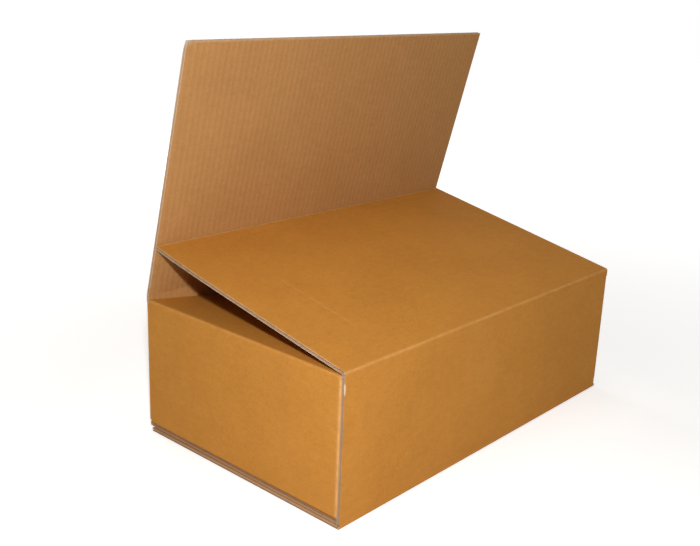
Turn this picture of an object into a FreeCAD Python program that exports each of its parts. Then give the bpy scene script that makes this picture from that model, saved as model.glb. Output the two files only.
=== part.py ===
# Open cardboard box: one folded sheet of fluted board with two long lid flaps.
# Frame: origin on the floor under the middle of the box, X along the box, Y from front to back, Z up.
import FreeCAD, Part
import os
import Sketcher

os.makedirs("parts", exist_ok=True)
doc = FreeCAD.newDocument("cardboard_box")

# Driving sizes, in millimetres and degrees
SIZES = {
    "box_length": "500",           # outside, along X
    "box_width": "300",            # outside, along Y
    "wall_height": "164",          # floor to the hinge line of the long flaps
    "board": "4",                  # thickness of the board
    "fold_round": "3",             # outer radius of a fold
    "slot_drop": "4.5",            # how far the slots between flaps run past a crease
    "seat_gap": "0.3",             # play between a closed long flap and the end creases
    "hinge_gap": "0.15",           # half the play between the mitred sides of a hinge
    "front_flap_short": "14",      # how much less deep than the box's width a long flap is
    "back_flap_short": "10",
    "long_flap_inset": "1",        # how far a long flap stops short of the box's ends
    "front_flap_angle": "11.8",    # the front flap's rise above level
    "flap_play": "0.76",           # between the front flap's free edge and the back flap leaning on it
    "end_flap_depth": "200",
    "end_flap_angle": "8.5",       # the end flaps' fall below level
    "end_flap_gap": "1",           # play between an end flap and the long walls
    "under_gap_back": "1.2",       # between the two bottom flaps, at the back wall
    "under_gap_front": "0.3",      # between the two bottom flaps, at the front wall
    "under_flap_short": "5",       # how far the outer bottom flap stops short of the back
    "over_flap_short": "3",        # how far the inner bottom flap stops short of the front wall
    "under_flap_inset": "0.5",
    "over_flap_inset": "2",
    "tab_width": "35",             # glue tab inside the front panel
    "tab_taper": "8",
    "tab_clearance": "4",          # below the end crease and above the bottom end flap
    "flute_pitch": "7.86",
    "liner": "0.5",
    "flute_wall": "0.45",
    "flute_reach": "8",            # how far the open flutes run in from a cut edge
    "edge_margin": "2",            # solid board left beside the first and last flute
}
sheet = doc.addObject("Spreadsheet::Sheet", "Sizes")
for row, (alias, value) in enumerate(SIZES.items(), start=1):
    sheet.set(f"A{row}", alias)
    sheet.set(f"B{row}", value)
    sheet.setAlias(f"B{row}", alias)
doc.recompute()

# Places worked out from the sizes
BOARD = "Sizes.board"
HALF_LENGTH = "Sizes.box_length / 2"
HALF_WIDTH = "Sizes.box_width / 2"
INNER_WIDTH = "(Sizes.box_width - 2 * Sizes.board)"
END_FLAP_WIDTH = f"({INNER_WIDTH} - 2 * Sizes.end_flap_gap)"
END_CREASE = "(Sizes.wall_height - Sizes.board - Sizes.seat_gap)"
UNDER_BACK = "(Sizes.board + Sizes.under_gap_back)"
UNDER_FRONT = "(Sizes.board + Sizes.under_gap_front)"
END_BASE = f"({UNDER_BACK} + Sizes.board + Sizes.seat_gap)"
HINGE_SET = "Sizes.hinge_gap * sqrt(2)"
MITRE_TOP = f"(Sizes.wall_height - {HINGE_SET})"
DROOP_COS = "cos(Sizes.end_flap_angle * 1 deg)"
DROOP_SIN = "sin(Sizes.end_flap_angle * 1 deg)"
FRONT_DEPTH = "(Sizes.box_width - Sizes.front_flap_short)"
BACK_DEPTH = "(Sizes.box_width - Sizes.back_flap_short)"
FRONT_RISE = "(Sizes.front_flap_angle * 1 deg)"

# The back flap leans over the box until its inner face meets the front flap's free edge
EDGE_OUT = f"(Sizes.box_width - {FRONT_DEPTH} * cos({FRONT_RISE}))"
EDGE_UP = f"({FRONT_DEPTH} * sin({FRONT_RISE}))"
EDGE_AWAY = f"sqrt({EDGE_OUT}^2 + {EDGE_UP}^2)"
BACK_LEAN = f"(atan({EDGE_OUT} / {EDGE_UP}) - asin(({BOARD} + Sizes.flap_play) / {EDGE_AWAY}))"


def plane(body, role):
    return next(item for item in body.Origin.OriginFeatures if item.Role == role)


def number(owner, expression):
    value = owner.evalExpression(expression)
    return float(getattr(value, "Value", value))


def outline(body, name, role, loops, offset=None):
    """A sketch of closed loops of straight lines, each corner held to a pair of expressions."""
    sketch = body.newObject("Sketcher::SketchObject", name)
    sketch.AttachmentSupport = (plane(body, role), [""])
    sketch.MapMode = "FlatFace"
    if offset:
        sketch.setExpression(".AttachmentOffset.Base.z", offset)
    for corners in loops:
        points = [FreeCAD.Vector(number(sketch, u), number(sketch, v), 0) for u, v in corners]
        first = sketch.GeometryCount
        count = len(corners)
        for index in range(count):
            sketch.addGeometry(Part.LineSegment(points[index], points[(index + 1) % count]), False)
        for index, (u, v) in enumerate(corners):
            line = first + index
            following = first + (index + 1) % count
            sketch.addConstraint(Sketcher.Constraint("Coincident", line, 2, following, 1))
            for kind, value, start in (("DistanceX", u, points[index].x), ("DistanceY", v, points[index].y)):
                held = sketch.addConstraint(Sketcher.Constraint(kind, -1, 1, line, 1, start))
                sketch.setExpression(f"Constraints[{held}]", value)
    doc.recompute()
    return sketch


def pad(body, name, sketch, length, both_ways=True):
    feature = body.newObject("PartDesign::Pad", name)
    feature.Profile = sketch
    if both_ways:
        feature.SideType = "Symmetric"
    feature.setExpression("Length", length)
    doc.recompute()
    return feature


def edges_along(shape, axis, places):
    """Names of the straight edges along an axis that pass through one of the places."""
    names = []
    for index, edge in enumerate(shape.Edges, start=1):
        if not isinstance(edge.Curve, Part.Line):
            continue
        start, end = (vertex.Point for vertex in edge.Vertexes)
        if abs((end - start).normalize().dot(axis)) < 0.999:
            continue
        for place in places:
            across = place - start
            if (across - axis * across.dot(axis)).Length < 0.05:
                names.append(f"Edge{index}")
                break
    return names


def round_folds(body, name, axis, places):
    """Rounds the outer side of folds, found by a place on each."""
    base = body.Tip
    names = edges_along(base.Shape, axis, places)
    if len(names) < len(places):
        raise RuntimeError(f"{name}: {len(names)} of {len(places)} folds found")
    fillet = body.newObject("PartDesign::Fillet", name)
    fillet.Base = (base, names)
    fillet.setExpression("Radius", "Sizes.fold_round")
    doc.recompute()
    return fillet


def open_flutes(body, name, role, span, offset, reverse):
    """Open flute ends in a cut edge: a row of hollows between the liners, above and below the wave."""
    top = "-Sizes.liner"
    low = "-(Sizes.board - Sizes.liner)"
    start = f"(Sizes.edge_margin - {span} / 2)"
    pitch = "Sizes.flute_pitch"
    wall = "Sizes.flute_wall"
    upper = [
        (f"{start} + {wall}", top),
        (f"{start} + {pitch} - {wall}", top),
        (f"{start} + {pitch} / 2", f"{low} + {wall}"),
    ]
    lower = [
        (f"{start} + {pitch} / 2 + {wall}", low),
        (f"{start} + {pitch} * 1.5 - {wall}", low),
        (f"{start} + {pitch}", f"{top} - {wall}"),
    ]
    before = body.Tip.Shape.Volume
    sketch = outline(body, name + "_profile", role, [upper, lower], offset)
    hollow = body.newObject("PartDesign::Pocket", name + "_first")
    hollow.Profile = sketch
    hollow.Reversed = reverse
    hollow.setExpression("Length", "Sizes.flute_reach")
    doc.recompute()
    row = body.newObject("PartDesign::LinearPattern", name)
    row.Originals = [hollow]
    row.Direction = (sketch, ["H_Axis"])
    room = number(sheet, f"{span} - 2 * Sizes.edge_margin")
    count = int(room / number(sheet, pitch) - 0.5)
    row.Occurrences = count
    row.setExpression("Length", f"{pitch} * {count - 1}")
    body.Tip = row
    doc.recompute()
    if row.Shape.Volume >= before:
        raise RuntimeError(f"{name}: the flutes cut nothing")
    return row


AXIS_X = FreeCAD.Vector(1, 0, 0)
AXIS_Y = FreeCAD.Vector(0, 1, 0)
AXIS_Z = FreeCAD.Vector(0, 0, 1)


def place(x="0", y="0", z="0"):
    return FreeCAD.Vector(number(sheet, x), number(sheet, y), number(sheet, z))


# The folded sheet: four walls, glue tab, bottom flaps and the two end flaps of the top
box = doc.addObject("PartDesign::Body", "box_body")
box.Label = "box_body"

# End walls, between the long walls
for side, sign in (("left", "-"), ("right", "")):
    outer = f"{sign}1 * {HALF_LENGTH}"
    inner = f"{sign}1 * ({HALF_LENGTH} - {BOARD})"
    low = f"{END_BASE} + Sizes.slot_drop"
    high = f"{END_CREASE} - Sizes.slot_drop"
    wall = outline(box, f"{side}_wall_profile", "XZ_Plane",
                   [[(outer, low), (outer, high), (inner, high), (inner, low)]])
    pad(box, f"{side}_wall", wall, INNER_WIDTH)

# At the left front corner the end wall folds into the glue tab, behind the front panel's raw edge
joint_corner = place(f"-{HALF_LENGTH}", f"-({HALF_WIDTH} - {BOARD})")
round_folds(box, "joint_fold", AXIS_Z, [joint_corner])
tab_root = f"-({HALF_LENGTH} - {BOARD})"
tab_edge = f"-({HALF_LENGTH} - {BOARD} - Sizes.tab_width)"
tab_low = f"{END_BASE} + {BOARD} + Sizes.tab_clearance"
tab_high = f"{END_CREASE} - {BOARD} - Sizes.tab_clearance"
tab = outline(box, "glue_tab_profile", "XZ_Plane",
              [[(tab_root, tab_low), (tab_root, tab_high),
                (tab_edge, f"{tab_high} - Sizes.tab_taper"), (tab_edge, f"{tab_low} + Sizes.tab_taper")]],
              offset=f"{HALF_WIDTH} - 2 * {BOARD}")
pad(box, "glue_tab", tab, BOARD, both_ways=False)

# Long walls, with their tops mitred under the hinge lines
for side, sign, foot in (("front", "-", "Sizes.slot_drop"), ("back", "", f"{UNDER_BACK} + Sizes.slot_drop")):
    outer = f"{sign}1 * {HALF_WIDTH}"
    inner = f"{sign}1 * ({HALF_WIDTH} - {BOARD})"
    wall = outline(box, f"{side}_wall_profile", "YZ_Plane",
                   [[(outer, foot), (outer, MITRE_TOP), (inner, f"{MITRE_TOP} - {BOARD}"), (inner, foot)]])
    pad(box, f"{side}_wall", wall, "Sizes.box_length")
round_folds(box, "corner_folds", AXIS_Z, [
    place(HALF_LENGTH, f"-{HALF_WIDTH}"),
    place(HALF_LENGTH, HALF_WIDTH),
    place(f"-{HALF_LENGTH}", HALF_WIDTH),
])

# Outer bottom flap, folded from the front wall, flat on the floor
under = outline(box, "under_flap_profile", "YZ_Plane", [[
    (f"-{HALF_WIDTH}", "0"),
    (f"-{HALF_WIDTH}", "Sizes.slot_drop"),
    (f"-({HALF_WIDTH} - {BOARD})", "Sizes.slot_drop"),
    (f"-({HALF_WIDTH} - {BOARD})", BOARD),
    (f"{HALF_WIDTH} - Sizes.under_flap_short", BOARD),
    (f"{HALF_WIDTH} - Sizes.under_flap_short", "0"),
]])
pad(box, "under_flap", under, "(Sizes.box_length - 2 * Sizes.under_flap_inset)")

# Inner bottom flap, folded from the back wall over the outer one
over = outline(box, "over_flap_profile", "YZ_Plane", [[
    (HALF_WIDTH, UNDER_BACK),
    (HALF_WIDTH, f"{UNDER_BACK} + Sizes.slot_drop"),
    (f"{HALF_WIDTH} - {BOARD}", f"{UNDER_BACK} + Sizes.slot_drop"),
    (f"{HALF_WIDTH} - {BOARD}", f"{UNDER_BACK} + {BOARD}"),
    (f"-({HALF_WIDTH} - {BOARD} - Sizes.over_flap_short)", f"{UNDER_FRONT} + {BOARD}"),
    (f"-({HALF_WIDTH} - {BOARD} - Sizes.over_flap_short)", UNDER_FRONT),
]])
pad(box, "over_flap", over, "(Sizes.box_length - 2 * Sizes.over_flap_inset)")
round_folds(box, "long_folds", AXIS_X, [
    place(y=f"-{HALF_WIDTH}"),
    place(y=HALF_WIDTH, z=UNDER_BACK),
])

# End flaps: the top pair folded in and drooping, the bottom pair folded flat over the inner bottom flap
for side, sign in (("left", "-"), ("right", "")):
    outer = f"{sign}1 * {HALF_LENGTH}"
    inner = f"{sign}1 * ({HALF_LENGTH} - {BOARD})"
    tip = f"{sign}1 * ({HALF_LENGTH} - Sizes.end_flap_depth * {DROOP_COS})"
    tip_under = f"{sign}1 * ({HALF_LENGTH} - Sizes.end_flap_depth * {DROOP_COS} + {BOARD} * {DROOP_SIN})"
    tip_height = f"{END_CREASE} - Sizes.end_flap_depth * {DROOP_SIN}"
    crease_under = f"{END_CREASE} - {BOARD} * ({DROOP_COS} + (1 + {DROOP_SIN}) * {DROOP_SIN} / {DROOP_COS})"
    top = [
        (outer, f"{END_CREASE} - Sizes.slot_drop"),
        (outer, END_CREASE),
        (tip, tip_height),
        (tip_under, f"{tip_height} - {BOARD} * {DROOP_COS}"),
        (inner, crease_under),
        (inner, f"{END_CREASE} - Sizes.slot_drop"),
    ]
    floor_tip = f"{sign}1 * ({HALF_LENGTH} - Sizes.end_flap_depth)"
    bottom = [
        (outer, f"{END_BASE} + Sizes.slot_drop"),
        (outer, END_BASE),
        (floor_tip, END_BASE),
        (floor_tip, f"{END_BASE} + {BOARD}"),
        (inner, f"{END_BASE} + {BOARD}"),
        (inner, f"{END_BASE} + Sizes.slot_drop"),
    ]
    pair = outline(box, f"{side}_flaps_profile", "XZ_Plane", [top, bottom])
    pad(box, f"{side}_flaps", pair, END_FLAP_WIDTH)
    round_folds(box, f"{side}_folds", AXIS_Y, [place(outer, z=END_CREASE), place(outer, z=END_BASE)])


def long_flap(name, depth, side, turn):
    """A long flap, drawn level from its hinge line across the box and turned about that line."""
    flap = doc.addObject("PartDesign::Body", name)
    flap.Label = name
    width = "(Sizes.box_length - 2 * Sizes.long_flap_inset)"
    section = outline(flap, name + "_profile", "YZ_Plane", [[
        (f"{side} * {HINGE_SET}", "0"),
        (f"{side} * {depth}", "0"),
        (f"{side} * {depth}", f"-{BOARD}"),
        (f"{side} * ({HINGE_SET} + {BOARD})", f"-{BOARD}"),
    ]])
    pad(flap, name + "_board", section, width)
    open_flutes(flap, name + "_flutes", "XZ_Plane", width, f"-{side} * {depth}", side > 0)
    flap.Placement = FreeCAD.Placement(FreeCAD.Vector(), FreeCAD.Rotation(AXIS_X, 1))
    flap.setExpression(".Placement.Base.y", f"-{side} * {HALF_WIDTH}")
    flap.setExpression(".Placement.Base.z", "Sizes.wall_height")
    flap.setExpression(".Placement.Rotation.Angle", f"{side} * ({turn})")
    doc.recompute()
    return flap


front = long_flap("front_flap", FRONT_DEPTH, 1, FRONT_RISE)
back = long_flap("back_flap", BACK_DEPTH, -1, f"90 deg - {BACK_LEAN}")

# Every object sound, then one file for each piece
for item in doc.Objects:
    if "Invalid" in item.State or "Error" in item.State:
        raise RuntimeError(f"{item.Name} failed: {item.State}")
for piece in (box, front, back):
    shape = piece.Shape
    if shape.isNull() or not shape.isValid() or len(shape.Solids) != 1:
        raise RuntimeError(f"{piece.Label} is not one sound solid")
    shape.exportStep(f"parts/{piece.Label}.step")
    print(piece.Label, "volume", round(shape.Volume), "faces", len(shape.Faces), shape.BoundBox)
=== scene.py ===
import math

import bmesh
import bpy
import numpy as np
from mathutils import Matrix, Vector


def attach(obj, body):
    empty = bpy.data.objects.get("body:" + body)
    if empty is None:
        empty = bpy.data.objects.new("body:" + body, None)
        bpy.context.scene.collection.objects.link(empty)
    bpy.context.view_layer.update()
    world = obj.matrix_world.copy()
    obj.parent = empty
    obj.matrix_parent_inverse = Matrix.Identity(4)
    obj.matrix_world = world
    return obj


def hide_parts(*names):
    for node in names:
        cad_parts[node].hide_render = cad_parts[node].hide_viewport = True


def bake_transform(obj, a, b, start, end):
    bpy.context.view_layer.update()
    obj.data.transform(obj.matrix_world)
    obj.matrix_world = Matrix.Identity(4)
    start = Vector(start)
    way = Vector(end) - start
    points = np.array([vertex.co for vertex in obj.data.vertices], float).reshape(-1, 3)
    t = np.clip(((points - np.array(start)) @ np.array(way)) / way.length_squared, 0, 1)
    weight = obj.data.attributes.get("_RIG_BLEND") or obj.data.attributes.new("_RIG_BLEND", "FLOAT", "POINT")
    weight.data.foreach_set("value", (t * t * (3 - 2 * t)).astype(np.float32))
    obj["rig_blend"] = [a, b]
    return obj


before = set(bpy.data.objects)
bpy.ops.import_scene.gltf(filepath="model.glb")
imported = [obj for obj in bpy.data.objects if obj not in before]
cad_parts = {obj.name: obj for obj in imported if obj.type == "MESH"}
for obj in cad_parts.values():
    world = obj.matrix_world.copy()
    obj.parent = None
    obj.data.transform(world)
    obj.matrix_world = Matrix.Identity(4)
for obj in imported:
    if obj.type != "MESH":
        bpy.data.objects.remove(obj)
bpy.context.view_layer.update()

# The box and its board, in metres, as the frame has them
HALF_LENGTH = 0.250
HALF_WIDTH = 0.150
HINGE_HEIGHT = 0.164
BOARD = 0.004
FOLD_ROUND = 0.003
INNER_ROUND = 0.001
LINER = 0.00045
MEDIUM = 0.0003
FLUTE_PITCH = 0.00786
END_CREASE = 0.1597
END_BASE = 0.0095
OVER_BACK = 0.0052
OVER_FRONT = 0.0043
SLOT = 0.0045
UNDER_HALF, UNDER_SHORT = 0.2495, 0.005
OVER_HALF, OVER_PLAY = 0.248, 0.003
TAB_WIDTH, TAB_TAPER = 0.036, 0.008
END_FLAP, END_HALF = 0.200, 0.145
END_DROOP = math.radians(8.5)
FRONT_DEPTH = 0.286
BACK_DEPTH = 0.290
FRONT_RISE = math.radians(11.8)
BACK_LEAN = math.radians(14.5017)
CREASE_REACH = 0.009
CREASE_BEND = 0.0056
LID_HALF = 0.249
OUTER_RELIEF = 0.00005
INNER_RELIEF = 0.00022
LID_SAG = 0.0012
LID_CURL = 0.0022
LID_SKEW = 0.0009
CRUSHED_CORNER = 0.009
CRUSH = 0.0016

RIGHT_ANGLE = math.pi / 2

X, Y, Z = Vector((1, 0, 0)), Vector((0, 1, 0)), Vector((0, 0, 1))
OUTSIDE, INSIDE, RAW, FLUTING = range(4)
INSIDE_SHIFT = 0.37


# Materials

def node(tree, kind, settings=(), **links):
    """A shader node with its settings, and its inputs linked or set."""
    made = tree.nodes.new(kind)
    for name, value in dict(settings).items():
        setattr(made, name, value)
    for name, value in links.items():
        socket = made.inputs[int(name[1:])] if name[0] == "i" and name[1:].isdigit() else made.inputs[name]
        if isinstance(value, bpy.types.NodeSocket):
            tree.links.new(value, socket)
        else:
            socket.default_value = value
    return made


def patches(tree, where, stretch, scale, detail, seed):
    """Soft noise over the board, from 0 to 1, stretched along the paper's grain."""
    spot = node(tree, "ShaderNodeMapping", Vector=where, Scale=stretch, Location=(seed, seed * 0.7, seed * 1.3))
    cloud = node(tree, "ShaderNodeTexNoise", Vector=spot.outputs[0], Scale=scale, Detail=detail, Roughness=0.6)
    return cloud.outputs["Fac"]


def ramp(tree, value, low, high):
    """A value spread so that low becomes 0 and high becomes 1."""
    spread = node(tree, "ShaderNodeMapRange", i0=value, i1=low, i2=high, i3=0.0, i4=1.0)
    return spread.outputs[0]


def mix(tree, share, first, second):
    """One colour over another."""
    made = node(tree, "ShaderNodeMix", {"data_type": "RGBA"})
    for index, value in ((0, share), (6, first), (7, second)):
        if isinstance(value, bpy.types.NodeSocket):
            tree.links.new(value, made.inputs[index])
        else:
            made.inputs[index].default_value = value
    return made.outputs[2]


def maths(tree, operation, first, second):
    """Two values added, multiplied or compared."""
    made = node(tree, "ShaderNodeMath", {"operation": operation}, i0=first, i1=second)
    return made.outputs[0]


# Near-white colour of a painted highlight spot on a cut edge
PAINTED_HIGHLIGHT = (0.85, 0.74, 0.6, 1)


def paper(name, light, dark, worn_and_highlight, roughness, sheen_level, grain):
    """Kraft paper: blotches, fibres along the grain, fine specks, folds painted paler for rubbing and for
    highlight where they catch the light, and a near-white painted highlight spot.
    """
    made = bpy.data.materials.new(name)
    made.use_nodes = True
    tree = made.node_tree
    shader = tree.nodes["Principled BSDF"]
    where = node(tree, "ShaderNodeUVMap", {"uv_map": "board"}).outputs[0]
    blotch = patches(tree, where, (1, 1, 1), 14, 3, 3.1)
    cloudy = patches(tree, where, (1, 1.6, 1), 90, 4, 7.7)
    mottle = patches(tree, where, (1, 1.3, 1), 330, 3, 15.1)
    fibre = patches(tree, where, (0.25, 1.3, 1), 1500, 3, 11.3)
    speck = patches(tree, where, (1, 1, 1), 2600, 2, 5.9)
    tone = maths(tree, "MULTIPLY", ramp(tree, blotch, 0.3, 0.7), 0.2)
    for cloud, share in ((cloudy, 0.25), (mottle, 0.3), (fibre, grain)):
        tone = maths(tree, "ADD", tone, maths(tree, "MULTIPLY", ramp(tree, cloud, 0.28, 0.72), share))
    shade = mix(tree, tone, dark, light)
    dots = maths(tree, "MULTIPLY", ramp(tree, speck, 0.62, 0.8), 0.16)
    shade = mix(tree, dots, shade, tuple(0.55 * part for part in dark[:3]) + (1,))
    # Paler folds: partly rubbing, partly painted highlight where the rounded folds catch the light; above 1.1 a
    # near-white painted highlight spot
    rub_and_highlight = node(tree, "ShaderNodeAttribute", {"attribute_name": "wear_and_highlight"}).outputs["Fac"]
    patchy_rub_and_highlight = maths(tree, "MULTIPLY", rub_and_highlight, ramp(tree, cloudy, 0.05, 0.6))
    shade = mix(tree, patchy_rub_and_highlight, shade, worn_and_highlight)
    shade = mix(tree, ramp(tree, rub_and_highlight, 1.1, 1.7), shade, PAINTED_HIGHLIGHT)
    tree.links.new(shade, shader.inputs["Base Color"])
    rough = node(tree, "ShaderNodeMapRange", i0=cloudy, i1=0.2, i2=0.8,
                 i3=roughness - 0.05, i4=roughness + 0.07)
    tree.links.new(rough.outputs[0], shader.inputs["Roughness"])
    shader.inputs["Specular IOR Level"].default_value = sheen_level
    height = maths(tree, "ADD", fibre, maths(tree, "MULTIPLY", cloudy, 1.4))
    bump = node(tree, "ShaderNodeBump", Height=height, Strength=0.22, Distance=0.00025)
    tree.links.new(bump.outputs[0], shader.inputs["Normal"])
    return made


kraft_outside = paper("kraft_outside", (0.68, 0.295, 0.052, 1), (0.44, 0.174, 0.027, 1), (0.78, 0.46, 0.19, 1),
                      0.68, 0.1, 0.3)
kraft_inside = paper("kraft_inside", (0.58, 0.296, 0.107, 1), (0.40, 0.19, 0.062, 1), (0.66, 0.43, 0.24, 1),
                     0.8, 0.1, 0.3)
raw_edge = paper("raw_edge", (0.60, 0.38, 0.22, 1), (0.45, 0.27, 0.15, 1), (0.82, 0.64, 0.48, 1),
                 0.85, 0.1, 0.3)
fluting = paper("fluting", (0.56, 0.37, 0.23, 1), (0.42, 0.26, 0.15, 1), (0.72, 0.54, 0.4, 1),
                0.85, 0.1, 0.3)
PAPERS = (kraft_outside, kraft_inside, raw_edge, fluting)


# Board

def washboard(depth):
    """How the liner sinks between the crests of the fluting, along the board."""
    def sink(along):
        turn = 2 * math.pi * along / FLUTE_PITCH
        return -depth * (0.5 - 0.4 * math.cos(turn) - 0.1 * math.cos(2 * turn))
    return sink


def wave(along):
    """The fluting's rise and fall between the liners."""
    swing = (BOARD - 2 * LINER - MEDIUM) / 2
    return swing * math.cos(2 * math.pi * along / FLUTE_PITCH)


def level(along):
    """No rise or fall, for crushed folds and corners."""
    return 0.0


class Board:
    """A stretch of folded board: where it starts, which way it runs, its outer side and its width."""

    def __init__(self, start, ahead, out, across, first, last, run=0.0):
        self.start = Vector(start)
        self.ahead = Vector(ahead).normalized()
        self.out = Vector(out).normalized()
        self.across = Vector(across)
        self.first = first
        self.last = last
        self.run = run
        self.turn_sign = -1 if self.across.cross(self.ahead).dot(self.out) > 0 else 1
        self.flutes = (last - first) / FLUTE_PITCH


def cut_edge(bm, board, depth, thick, columns, lift):
    """The faces across a layer's cut edge, from which the layer is drawn out."""
    run, width = bm.verts.layers.float["run"], bm.verts.layers.float["width"]
    skin = bm.verts.layers.int["skin"]
    made = bmesh.ops.create_grid(bm, x_segments=columns, y_segments=1, size=0.5)["verts"]
    for vert in made:
        along = board.first + (board.last - board.first) * (vert.co.x + 0.5)
        top = vert.co.y > 0
        down = depth if top else depth + thick
        vert.co = board.start + board.across * along + board.out * (lift(along) - down)
        vert[run] = board.run
        vert[width] = along
        vert[skin] = 1 if top else 2
    return bm.faces[:]


def draw_out(bm, cap, rows, step, run_step, pivot=None, axis=None, angle=0.0):
    """Extrudes the end of a layer in equal rows, or in rows of given shares, straight on or round a fold."""
    run = bm.verts.layers.float["run"]
    shares = [1 / rows] * rows if isinstance(rows, int) else rows
    for share in shares:
        grown = bmesh.ops.extrude_face_region(bm, geom=cap)["geom"]
        if any(len(edge.link_faces) > 2 for edge in cap[0].edges):
            bmesh.ops.delete(bm, geom=cap, context="FACES")
        cap = [item for item in grown if isinstance(item, bmesh.types.BMFace)]
        verts = [item for item in grown if isinstance(item, bmesh.types.BMVert)]
        if pivot is None:
            bmesh.ops.translate(bm, verts=verts, vec=step * share)
        else:
            bmesh.ops.rotate(bm, verts=verts, cent=pivot, matrix=Matrix.Rotation(angle * share, 3, axis))
        for vert in verts:
            vert[run] += run_step * share
    return cap


def new_layer():
    """An empty layer that keeps, for each point, its place on the sheet, its paleness from rubbing and painted
    highlight, and its side.
    """
    bm = bmesh.new()
    for name in ("run", "width", "wear_and_highlight"):
        bm.verts.layers.float.new(name)
    bm.verts.layers.int.new("skin")
    return bm


def finished_layer(bm, outside, inside):
    """Closes a layer and gives its two sides their papers, with raw paper at the cuts."""
    bmesh.ops.recalc_face_normals(bm, faces=bm.faces[:])
    skin = bm.verts.layers.int["skin"]
    for face in bm.faces:
        sides = {vert[skin] for vert in face.verts}
        face.material_index = RAW if len(sides) > 1 else (outside if 1 in sides else inside)
        face.smooth = len(sides) == 1
    mesh = bpy.data.meshes.new("layer")
    bm.to_mesh(mesh)
    bm.free()
    return mesh


def layer(board, runs, turns, depth, thick, columns, lift, face_depth, radius, outside, inside):
    """One layer of folded board. face_depth and radius are those of the side that its folds are measured on."""
    bm = new_layer()
    ahead, out = board.ahead.copy(), board.out.copy()
    spot = board.start - out * face_depth
    cap = cut_edge(bm, board, depth, thick, columns, lift)
    for index, (length, rows) in enumerate(runs):
        before = turns[index - 1] if index else 0.0
        after = turns[index] if index < len(turns) else 0.0
        lost = (face_depth + radius) * (math.tan(before / 2) + math.tan(after / 2))
        cap = draw_out(bm, cap, rows, ahead * (length - lost), length - lost)
        spot = spot + ahead * (length - lost)
        if after:
            pivot = spot - out * radius
            angle = after * board.turn_sign
            steps = max(4, round(math.degrees(after) / 9))
            cap = draw_out(bm, cap, steps, None, 2 * (face_depth + radius) * math.tan(after / 2),
                           pivot, board.across, angle)
            turned = Matrix.Rotation(angle, 3, board.across)
            spot = pivot + turned @ (spot - pivot)
            ahead, out = turned @ ahead, turned @ out
    return finished_layer(bm, outside, inside)


def crushed_fold(board, turn):
    """Crushed fluting inside a fold, under the outer liner."""
    bm = new_layer()
    cap = cut_edge(bm, board, LINER, FOLD_ROUND - LINER - 0.0002, 2, level)
    pivot = board.start - board.out * FOLD_ROUND
    draw_out(bm, cap, 6, None, 0.0, pivot, board.across, turn * board.turn_sign)
    return finished_layer(bm, FLUTING, FLUTING)


def corner_fold(board):
    """A vertical corner of the box: the outer liner round it, and the crushed board within."""
    bm = new_layer()
    cap = cut_edge(bm, board, 0.0, LINER, 12, level)
    pivot = board.start - board.out * FOLD_ROUND
    draw_out(bm, cap, 8, None, FOLD_ROUND, pivot, Z, RIGHT_ANGLE * board.turn_sign)
    return [finished_layer(bm, OUTSIDE, RAW), crushed_fold(board, RIGHT_ANGLE)]


def sheet_of_board(board, runs, turns=()):
    """Both liners of a folded sheet along its whole path, and the fluting in each flat part."""
    columns = max(2, round(board.flutes * 8))
    outer_lift, inner_sink = washboard(OUTER_RELIEF), washboard(INNER_RELIEF)
    layers = [
        layer(board, runs, turns, 0.0, LINER, columns, outer_lift, 0.0, FOLD_ROUND, OUTSIDE, RAW),
        layer(board, runs, turns, BOARD - LINER, LINER, columns, lambda along: -inner_sink(along),
              BOARD, INNER_ROUND, RAW, INSIDE),
    ]
    columns = max(4, round(board.flutes * 12))
    ahead, out, start, run = board.ahead.copy(), board.out.copy(), board.start.copy(), board.run
    for index, (length, rows) in enumerate(runs):
        before = turns[index - 1] if index else 0.0
        after = turns[index] if index < len(turns) else 0.0
        near, far = BOARD * math.tan(before / 2), BOARD * math.tan(after / 2)
        if length > near + far:
            flat = Board(start + ahead * near, ahead, out, board.across, board.first, board.last, run + near)
            layers.append(layer(flat, [(length - near - far, rows)], (), (BOARD - MEDIUM) / 2, MEDIUM, columns,
                                wave, 0.0, 0.0, FLUTING, FLUTING))
        start = start + ahead * length
        run += length
        if after:
            tangent = start - ahead * FOLD_ROUND * math.tan(after / 2)
            fold = Board(tangent, ahead, out, board.across, board.first, board.last, run)
            layers.append(crushed_fold(fold, after))
            turned = Matrix.Rotation(after * board.turn_sign, 3, board.across)
            ahead, out = turned @ ahead, turned @ out
    return layers


def rubbed_and_highlighted(places, lines):
    """How much paler the paper is painted near lines of a middle, direction, reach, strength and half length:
    rubbed folds and edges, and painted highlights on folds, a crease line and a spot.
    """
    amount = np.zeros(len(places))
    for middle, along, reach, strength, half in lines:
        away = places - np.array(middle)
        share = away @ np.array(along)
        away -= np.outer(np.clip(share, -half, half), np.array(along))
        near = strength * np.exp(-np.sum(away * away, axis=1) / reach ** 2)
        amount = np.maximum(amount, near)
    return amount


def values(collection, name, width=1):
    """A mesh's numbers as an array."""
    found = np.zeros(len(collection) * width, np.float32)
    collection.foreach_get(name, found)
    return found.reshape(-1, width) if width > 1 else found


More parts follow.
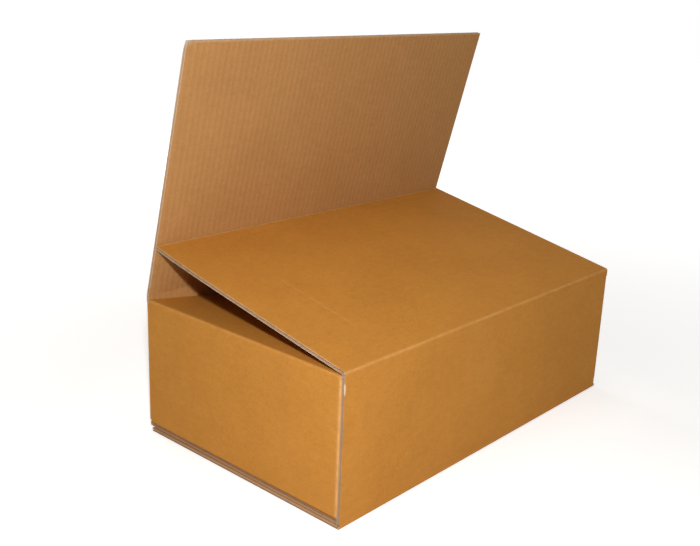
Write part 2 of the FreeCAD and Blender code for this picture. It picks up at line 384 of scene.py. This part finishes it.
def make_piece(name, layers, lines, shift, shape=None):
    """Joins the layers into one piece with the board's own map, folds painted paler for rubbing and highlight,
    and papers.
    """
    bm = bmesh.new()
    for part in layers:
        bm.from_mesh(part)
        bpy.data.meshes.remove(part)
    mesh = bpy.data.meshes.new(name)
    bm.to_mesh(mesh)
    bm.free()
    places = values(mesh.vertices, "co", 3).astype(float)
    mesh.attributes["wear_and_highlight"].data.foreach_set("value", rubbed_and_highlighted(places, lines).astype(np.float32))
    if shape:
        mesh.vertices.foreach_set("co", shape(places).astype(np.float32).ravel())
    corner = np.zeros(len(mesh.loops), np.int32)
    mesh.loops.foreach_get("vertex_index", corner)
    papers = np.zeros(len(mesh.polygons), np.int32)
    mesh.polygons.foreach_get("material_index", papers)
    paper_of_corner = np.repeat(papers, 4)
    side = np.where(paper_of_corner == INSIDE, INSIDE_SHIFT, 0.0) + shift
    along = values(mesh.attributes["width"].data, "value")[corner] + side
    down = values(mesh.attributes["run"].data, "value")[corner] + side
    board_map = mesh.uv_layers.new(name="board")
    board_map.uv.foreach_set("vector", np.stack([along, down], axis=1).astype(np.float32).ravel())
    for spare in ("skin", "run", "width"):
        mesh.attributes.remove(mesh.attributes[spare])
    mesh.set_sharp_from_angle(angle=math.radians(32))
    for material in PAPERS:
        mesh.materials.append(material)
    piece = bpy.data.objects.new(name, mesh)
    bpy.context.scene.collection.objects.link(piece)
    return piece


FRONT_TURN = RIGHT_ANGLE - FRONT_RISE
WALL_TOP = HINGE_HEIGHT - CREASE_REACH
# Folds and corners painted paler: partly rubbing, partly painted highlight where the rounded folds catch the
# light
FOLD_RUB_AND_HIGHLIGHT, FOLD_REACH = 0.45, 0.0016
CORNER_RUB_AND_HIGHLIGHT, CORNER_REACH = 0.7, 0.003
CUT_RUB, CUT_REACH = 0.85, 0.0008
WHOLE = 1.0
LONG_WALL_ROWS = [0.2, 0.2, 0.2, 0.2, 0.1, 0.04, 0.03, 0.03]
LID_ROWS = [0.08] * 11 + [0.06, 0.03, 0.012, 0.010, 0.008]
fronts = [((0, -HALF_WIDTH, height), X, FOLD_REACH, FOLD_RUB_AND_HIGHLIGHT, WHOLE) for height in (0, HINGE_HEIGHT)]
backs = [((0, HALF_WIDTH, height), X, FOLD_REACH, FOLD_RUB_AND_HIGHLIGHT, WHOLE) for height in (OVER_BACK, HINGE_HEIGHT)]
# A small near-white painted highlight near the top of the front wall's raw edge at the near corner
painted_edge_highlight = ((-HALF_LENGTH, -HALF_WIDTH, 0.1477), Z, 0.0013, 2.4, 0.003)

# Front wall with its outer bottom flap
under_reach = 2 * HALF_WIDTH - UNDER_SHORT
under = Board((0, HALF_WIDTH - UNDER_SHORT, 0), -Y, -Z, X, -UNDER_HALF, UNDER_HALF, -under_reach)
wall = Board((0, -HALF_WIDTH, SLOT), Z, -Y, X, -HALF_LENGTH, HALF_LENGTH - FOLD_ROUND, SLOT)
front_sheet = make_piece("front_sheet", [
    *sheet_of_board(under, [(under_reach, 4), (SLOT, 1)], [RIGHT_ANGLE]),
    *sheet_of_board(wall, [(WALL_TOP - SLOT, LONG_WALL_ROWS)]),
], [*fronts, painted_edge_highlight], 1.0)

# Back wall with its inner bottom flap
over_start = Vector((0, -(HALF_WIDTH - BOARD - OVER_PLAY), OVER_FRONT))
over_end = Vector((0, HALF_WIDTH, OVER_BACK))
over_ahead = (over_end - over_start).normalized()
over_reach = (over_end - over_start).length
over = Board(over_start, over_ahead, over_ahead.cross(X), X, -OVER_HALF, OVER_HALF, OVER_BACK - over_reach)
wall = Board((0, HALF_WIDTH, OVER_BACK + SLOT), Z, Y, X, FOLD_ROUND - HALF_LENGTH, HALF_LENGTH - FOLD_ROUND,
             OVER_BACK + SLOT)
back_sheet = make_piece("back_sheet", [
    *sheet_of_board(over, [(over_reach, 4), (SLOT, 1)], [RIGHT_ANGLE - over_ahead.angle(Y)]),
    *sheet_of_board(wall, [(WALL_TOP - OVER_BACK - SLOT, 5)]),
], backs, 2.0)


def glue_tab():
    """The tab behind the front wall's raw edge, narrower at its free edge."""
    low, high = END_BASE + 2 * BOARD, END_CREASE - 2 * BOARD
    root = HALF_LENGTH - FOLD_ROUND
    tab = Board((0, BOARD - HALF_WIDTH, low), Z, -Y, X, -root, -root + TAB_WIDTH, 0.3)
    layers = sheet_of_board(tab, [(high - low, 1)])
    for part in layers:
        for vert in part.vertices:
            slope = TAB_TAPER * (vert.co.x + root) / TAB_WIDTH
            vert.co.z += slope if vert.co.z < HINGE_HEIGHT / 2 else -slope
    return layers


def end_sheet(sign, front_corner):
    """An end wall with its bottom and top flaps, and the vertical corners beside it."""
    out = X * sign
    side = HALF_LENGTH * sign
    floor_flap = Board((side - sign * END_FLAP, 0, END_BASE), out, -Z, Y, -END_HALF, END_HALF, -END_FLAP)
    wall = Board((side, 0, END_BASE + SLOT), Z, out, Y, FOLD_ROUND - front_corner, HALF_WIDTH - FOLD_ROUND,
                 SLOT)
    top = Board((side, 0, END_CREASE - SLOT), Z, out, Y, -END_HALF, END_HALF, END_CREASE - END_BASE - SLOT)
    layers = [
        *sheet_of_board(floor_flap, [(END_FLAP, 4), (SLOT, 1)], [RIGHT_ANGLE]),
        *sheet_of_board(wall, [(END_CREASE - END_BASE - 2 * SLOT, 5)]),
        *sheet_of_board(top, [(SLOT, 1), (END_FLAP, 5)], [RIGHT_ANGLE + END_DROOP]),
    ]
    for y, face in ((HALF_WIDTH, Y), (-front_corner, -Y)):
        tangent = Vector((side, y, 0)) - face * FOLD_ROUND
        layers += corner_fold(Board(tangent, face, out, Z, END_BASE + SLOT, END_CREASE - SLOT))
    lines = [((side, 0, height), Y, FOLD_REACH, FOLD_RUB_AND_HIGHLIGHT, WHOLE) for height in (END_BASE, END_CREASE)]
    lines += [((side, y, 0), Z, CORNER_REACH, CORNER_RUB_AND_HIGHLIGHT, WHOLE) for y in (HALF_WIDTH, -front_corner)]
    return layers, lines


layers, lines = end_sheet(-1, HALF_WIDTH - BOARD)
left_sheet = make_piece("left_sheet", layers + glue_tab(), lines, 3.0)
layers, lines = end_sheet(1, HALF_WIDTH)
right_sheet = make_piece("right_sheet", layers, lines, 4.0)

# Lids, from beyond their creases to their free edges
front_ahead = Vector((0, math.cos(FRONT_RISE), math.sin(FRONT_RISE)))
front_hinge = Vector((0, -HALF_WIDTH, HINGE_HEIGHT))
back_ahead = Vector((0, -math.sin(BACK_LEAN), math.cos(BACK_LEAN)))
back_hinge = Vector((0, HALF_WIDTH, HINGE_HEIGHT))


def twisted(places):
    """The front lid isn't flat or square: its left side sags a little and curls up at the tip."""
    share = np.clip((places - np.array(front_hinge)) @ np.array(front_ahead) / FRONT_DEPTH, 0, 1)
    left = 0.5 - 0.5 * places[:, 0] / LID_HALF
    lift = left * (LID_CURL * share ** 8 - LID_SAG * share ** 2 * (1 - share))
    skew = np.outer(LID_SKEW * share ** 2, np.array(-X))
    return places + np.outer(lift, np.array(X.cross(front_ahead))) + skew


def crushed(places):
    """The back lid's left top corner is crushed a little towards the inside."""
    corner = np.array(back_hinge + back_ahead * BACK_DEPTH - X * LID_HALF)
    out = np.array(-X.cross(back_ahead))
    away = places - corner
    away -= np.outer(away @ out, out)
    share = np.clip(1 - np.linalg.norm(away, axis=1) / CRUSHED_CORNER, 0, 1)
    return places - np.outer(CRUSH * share, out)


def lid(name, hinge, ahead, out, depth, lines, shift, shape):
    """A lid with its cut edges rubbed pale."""
    board = Board(hinge + ahead * CREASE_REACH, ahead, out, X, -LID_HALF, LID_HALF, HINGE_HEIGHT + CREASE_REACH)
    cuts = []
    for rim in (hinge, hinge - out * BOARD):
        cuts += [(rim + X * side * LID_HALF, ahead, CUT_REACH, CUT_RUB, WHOLE) for side in (-1, 1)]
        cuts.append((rim + ahead * depth, X, CUT_REACH, CUT_RUB, WHOLE))
    layers = sheet_of_board(board, [(depth - CREASE_REACH, LID_ROWS)])
    return make_piece(name, layers, lines + cuts, shift, shape)


def crease(name, y, out, turn, lines, shift):
    """The bent board between a long wall and its lid."""
    board = Board((0, y, WALL_TOP), Z, out, X, -LID_HALF, LID_HALF, WALL_TOP)
    return make_piece(name, sheet_of_board(board, [(CREASE_REACH, 4)] * 2, [turn]), lines, shift)


# A faint pale line painted on the front lid: painted highlight along a slight crease
painted_crease_highlight = (front_hinge + front_ahead * 0.1215 - X * 0.173, front_ahead, 0.0011, 0.22, 0.0465)
front_lid = lid("front_lid", front_hinge, front_ahead, X.cross(front_ahead), FRONT_DEPTH, [*fronts, painted_crease_highlight], 1.0,
                twisted)
crushed_spot = (back_hinge + back_ahead * BACK_DEPTH - X * LID_HALF, X, 0.006, 0.9, 0.004)
back_lid = lid("back_lid", back_hinge, back_ahead, -X.cross(back_ahead), BACK_DEPTH,
               [*backs, crushed_spot], 2.0, crushed)
front_crease = crease("front_crease", -HALF_WIDTH, -Y, FRONT_TURN, fronts, 1.0)
back_crease = crease("back_crease", HALF_WIDTH, Y, BACK_LEAN, backs, 2.0)

for piece in (front_sheet, back_sheet, left_sheet, right_sheet):
    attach(piece, "box_body")
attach(front_lid, "front_flap")
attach(back_lid, "back_flap")
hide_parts("box_body")
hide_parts("front_flap")
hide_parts("back_flap")
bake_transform(front_crease, "box_body", "front_flap", start=front_hinge - Z * CREASE_BEND,
         end=front_hinge + front_ahead * CREASE_BEND)
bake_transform(back_crease, "box_body", "back_flap", start=back_hinge - Z * CREASE_BEND,
         end=back_hinge + back_ahead * CREASE_BEND)

# Floor, shown nearly white far away, with the box's shadow kept near it
NEAR_GLOW, FAR_GLOW = 0.50, 0.91
floor_mesh = bmesh.new()
bmesh.ops.create_grid(floor_mesh, x_segments=1, y_segments=1, size=6.0)
bmesh.ops.translate(floor_mesh, verts=floor_mesh.verts[:], vec=(0, 0, -0.0003))
mesh = bpy.data.meshes.new("floor")
floor_mesh.to_mesh(mesh)
floor_mesh.free()
floor = bpy.data.objects.new("floor", mesh)
bpy.context.scene.collection.objects.link(floor)
pale = bpy.data.materials.new("pale_floor")
pale.use_nodes = True
tree = pale.node_tree
shader = tree.nodes["Principled BSDF"]
shader.inputs["Base Color"].default_value = (0.8, 0.8, 0.8, 1)
shader.inputs["Roughness"].default_value = 0.9
shader.inputs["Specular IOR Level"].default_value = 0.1
shader.inputs["Emission Color"].default_value = (1, 1, 1, 1)
rays = node(tree, "ShaderNodeLightPath")
shown = maths(tree, "MAXIMUM", rays.outputs["Is Camera Ray"], rays.outputs["Is Glossy Ray"])
shown = maths(tree, "MAXIMUM", shown, rays.outputs["Is Transmission Ray"])
spot = node(tree, "ShaderNodeTexCoord").outputs["Object"]
away = node(tree, "ShaderNodeVectorMath", {"operation": "LENGTH"}, i0=spot).outputs["Value"]
glow = node(tree, "ShaderNodeMapRange", i0=away, i1=0.4, i2=1.5, i3=NEAR_GLOW, i4=FAR_GLOW).outputs[0]
tree.links.new(maths(tree, "MULTIPLY", shown, glow), shader.inputs["Emission Strength"])
mesh.materials.append(pale)

# Light: a small lamp above the camera, a wide one overhead, a wide one behind, and soft light all round
world = bpy.data.worlds.new("studio")
bpy.context.scene.world = world
world.use_nodes = True
tree = world.node_tree
rays = node(tree, "ShaderNodeLightPath")
shown = maths(tree, "MAXIMUM", rays.outputs["Is Camera Ray"], rays.outputs["Is Glossy Ray"])
shown = maths(tree, "MAXIMUM", shown, rays.outputs["Is Transmission Ray"])
AMBIENT = 0.11
strength = maths(tree, "ADD", maths(tree, "MULTIPLY", shown, 1 - AMBIENT), AMBIENT)
sky = tree.nodes["Background"]
sky.inputs["Color"].default_value = (1, 1, 1, 1)
tree.links.new(strength, sky.inputs["Strength"])

# Camera, fitted to the box's corners and edges
AZIMUTH, ELEVATION, ROLL = (math.radians(angle) for angle in (-48.443, 17.084, 2.204))
FOCAL_PIXELS, PICTURE_WIDTH = 961.354, 700
back_way = Vector((math.sin(AZIMUTH) * math.cos(ELEVATION), -math.cos(AZIMUTH) * math.cos(ELEVATION),
                   math.sin(ELEVATION)))
flat_right = (-back_way).cross(Z).normalized()
flat_up = flat_right.cross(-back_way)
right = flat_right * math.cos(ROLL) + flat_up * math.sin(ROLL)
up = flat_up * math.cos(ROLL) - flat_right * math.sin(ROLL)
eye = Vector((-0.856302, -0.688574, 0.509125))
camera_data = bpy.data.cameras.new("camera")
camera_data.sensor_width = 36
camera_data.lens = FOCAL_PIXELS * 36 / PICTURE_WIDTH
camera = bpy.data.objects.new("camera", camera_data)
camera.matrix_world = Matrix.Translation(eye) @ Matrix((right, up, back_way)).transposed().to_4x4()
bpy.context.scene.collection.objects.link(camera)
bpy.context.scene.camera = camera


def lamp(name, place, target, size, power, colour=(1, 1, 1)):
    data = bpy.data.lights.new(name, "AREA")
    data.color = colour
    data.shape = "DISK"
    data.size = size
    data.energy = power
    made = bpy.data.objects.new(name, data)
    made.location = place
    made.visible_camera = False
    made.rotation_mode = "QUATERNION"
    made.rotation_quaternion = (Vector(target) - Vector(place)).to_track_quat("-Z", "Y")
    bpy.context.scene.collection.objects.link(made)


lamp("key", (-0.85, -0.70, 0.671), (0, 0, 0.12), 0.05, 10.6)
lamp("overhead", (0, 0.1, 2.2), (0, 0, 0), 1.5, 7.5, (1.0, 0.95, 0.82))
lamp("back", (0.4, 2.2, 0.5), (0, 0, 0.15), 0.9, 16.0)

bpy.context.scene.view_settings.view_transform = "Standard"
